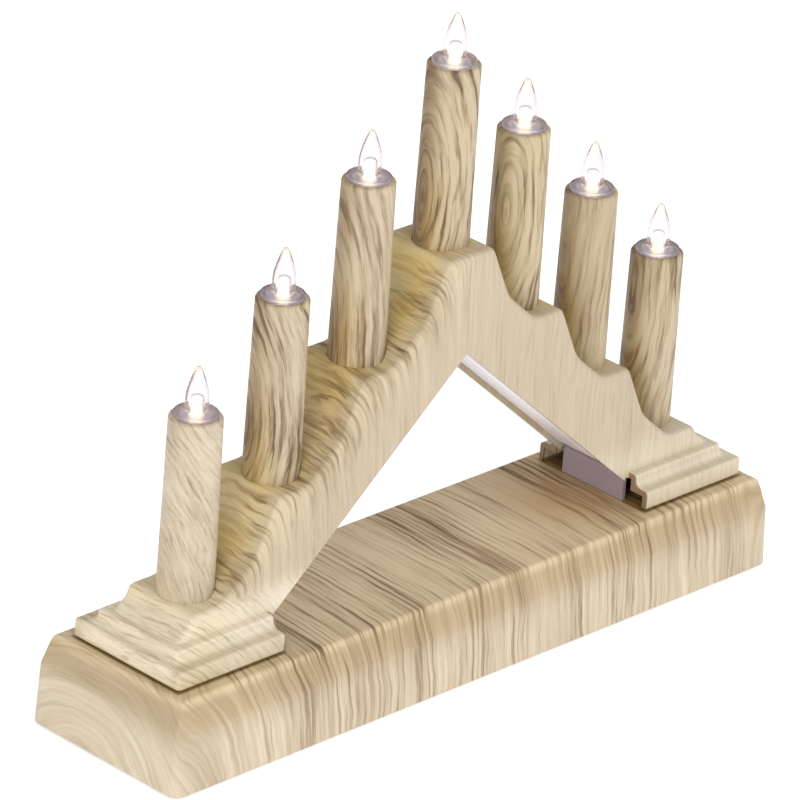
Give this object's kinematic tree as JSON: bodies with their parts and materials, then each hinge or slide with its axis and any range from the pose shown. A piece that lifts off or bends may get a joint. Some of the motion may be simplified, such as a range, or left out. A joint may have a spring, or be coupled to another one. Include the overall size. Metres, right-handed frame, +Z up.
{
  "type": "battery candle arch",
  "caption": "Stepped candle arch on a long box base, with flame-shaped lights on round tubes and a battery bay underneath.",
  "frame": {"origin": "on the floor under the middle of the base", "axes": "+X along the base to the right, -Y towards the front, +Z up"},
  "size_m": [0.22, 0.0544, 0.1795],
  "materials": {
    "wood_effect": "printed wood grain, satin",
    "soffit_plastic": "smooth satin",
    "under_plastic": "fine texture",
    "clear_plastic": "clear moulded",
    "led_resin": "clear warm resin",
    "rubber": "matt",
    "screw_steel": "zinc plated",
    "contact_steel": "nickel plated",
    "cell_sleeve": "printed sleeve",
    "board_green": "solder mask",
    "chip_black": "matt",
    "wire_red": "insulation",
    "wire_black": "insulation"
  },
  "bodies": {
    "arch": {"base_housing": "wood_effect", "base_plate": "under_plastic", "base_screws": "screw_steel", "rubber_pads": "rubber", "battery_1": "cell_sleeve", "battery_2": "cell_sleeve", "battery_3": "cell_sleeve", "contact_positive": "contact_steel", "contact_link_right": "contact_steel", "contact_link_left": "contact_steel", "contact_negative": "contact_steel", "circuit_board": "board_green", "control_chip": "chip_black", "resistors": "chip_black", "board_screws": "screw_steel", "switch_case": "chip_black", "positive_lead": "wire_red", "negative_lead": "wire_black", "wire_loom": "wire_black", "arch_shell": "wood_effect", "arch_soffit": "soffit_plastic", "arch_screws": "screw_steel", "candle_tube_1": "wood_effect", "candle_tube_2": "wood_effect", "candle_tube_3": "wood_effect", "candle_tube_4": "wood_effect", "candle_tube_5": "wood_effect", "candle_tube_6": "wood_effect", "candle_tube_7": "wood_effect", "flame_lens_1": "clear_plastic", "flame_lens_2": "clear_plastic", "flame_lens_3": "clear_plastic", "flame_lens_4": "clear_plastic", "flame_lens_5": "clear_plastic", "flame_lens_6": "clear_plastic", "flame_lens_7": "clear_plastic", "led_1": "led_resin", "led_2": "led_resin", "led_3": "led_resin", "led_4": "led_resin", "led_5": "led_resin", "led_6": "led_resin", "led_7": "led_resin"},
    "cover": {"battery_cover": "under_plastic"},
    "slider": {"switch_slider": "chip_black"}
  },
  "joints": [
    {"name": "cover_hinge", "type": "hinge", "parent": "arch", "child": "cover", "pos_m": [-0.02755, 0, 0.0012], "axis": [0, 1, 0], "range_deg": [0, 70]},
    {"name": "switch_slide", "type": "slide", "parent": "arch", "child": "slider", "axis": [1, 0, 0], "range_m": [-0.002, 0]}
  ]
}
